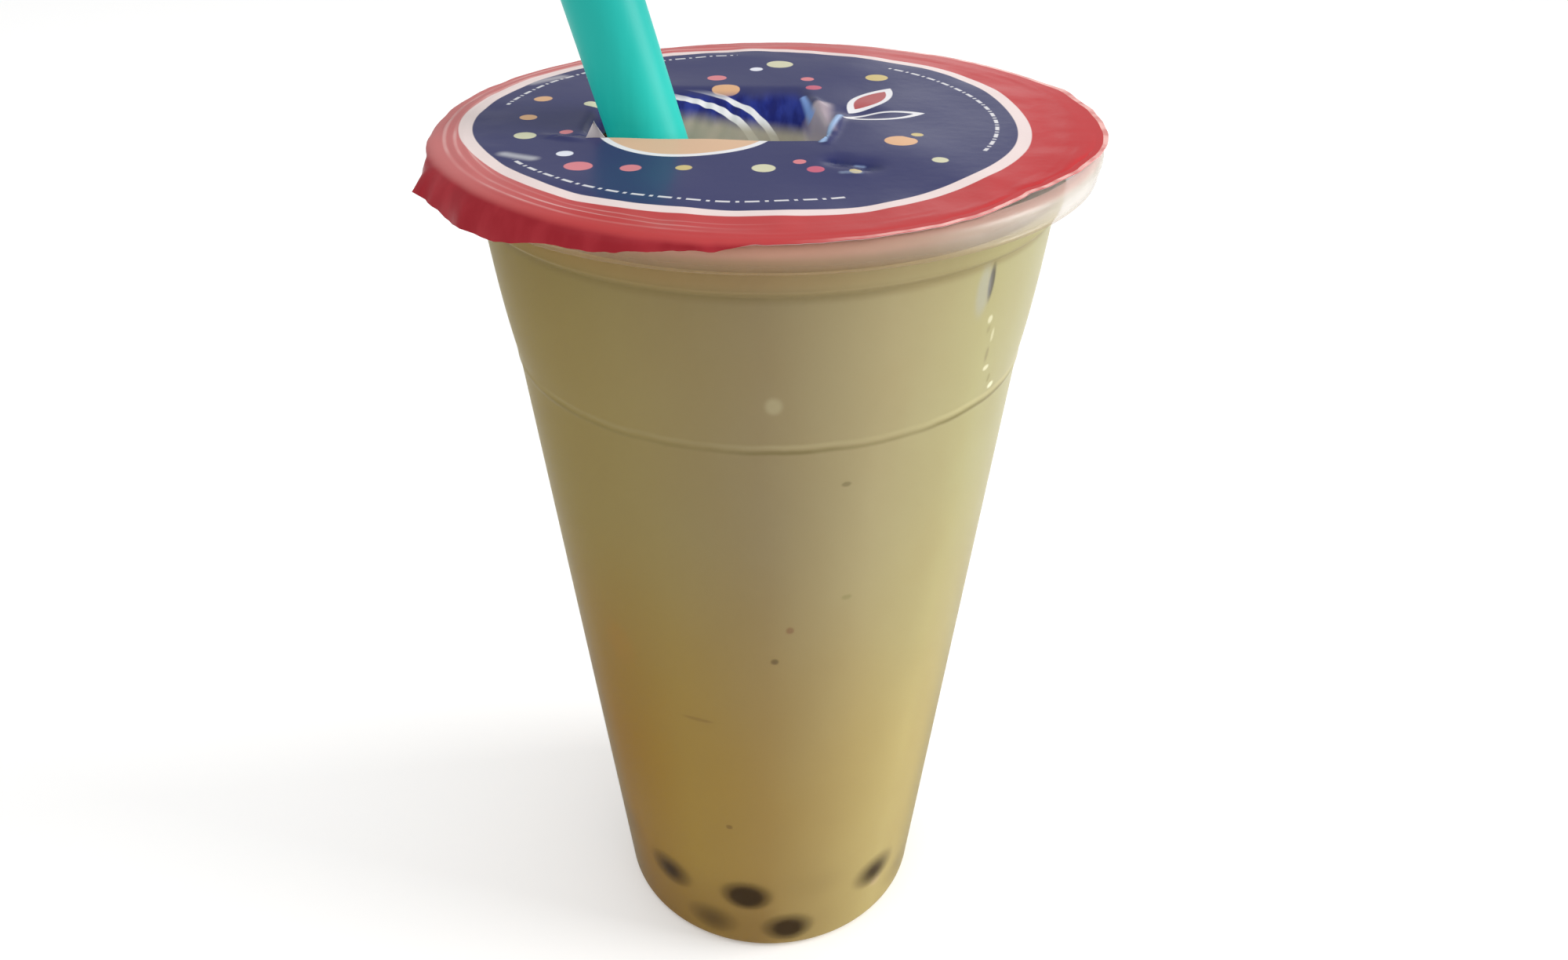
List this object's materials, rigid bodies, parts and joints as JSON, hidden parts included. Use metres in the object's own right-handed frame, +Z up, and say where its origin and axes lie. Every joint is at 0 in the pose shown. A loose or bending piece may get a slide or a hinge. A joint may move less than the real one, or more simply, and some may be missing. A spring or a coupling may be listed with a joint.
{
  "type": "bubble tea",
  "caption": "Tall tapered clear cup of milky tea, its top closed by a heat-sealed printed film that is torn open where a wide straw leans through.",
  "frame": {"origin": "centre of the cup's base, on the surface that it stands on", "axes": "+Z up along the cup's axis, -Y towards the viewer of the picture, +X to the viewer's right; the straw leans towards -X"},
  "size_m": [0.0957, 0.0959, 0.2195],
  "materials": {
    "cup": "clear thin polypropylene, glossy",
    "tea": "opaque milky tea, smooth liquid surface",
    "film": "printed plastic film, glossy, with a red border",
    "straw": "teal plastic, satin gloss"
  },
  "bodies": {
    "root": {"cup": "cup", "tea": "tea", "film": "film", "straw": "straw"}
  },
  "joints": []
}
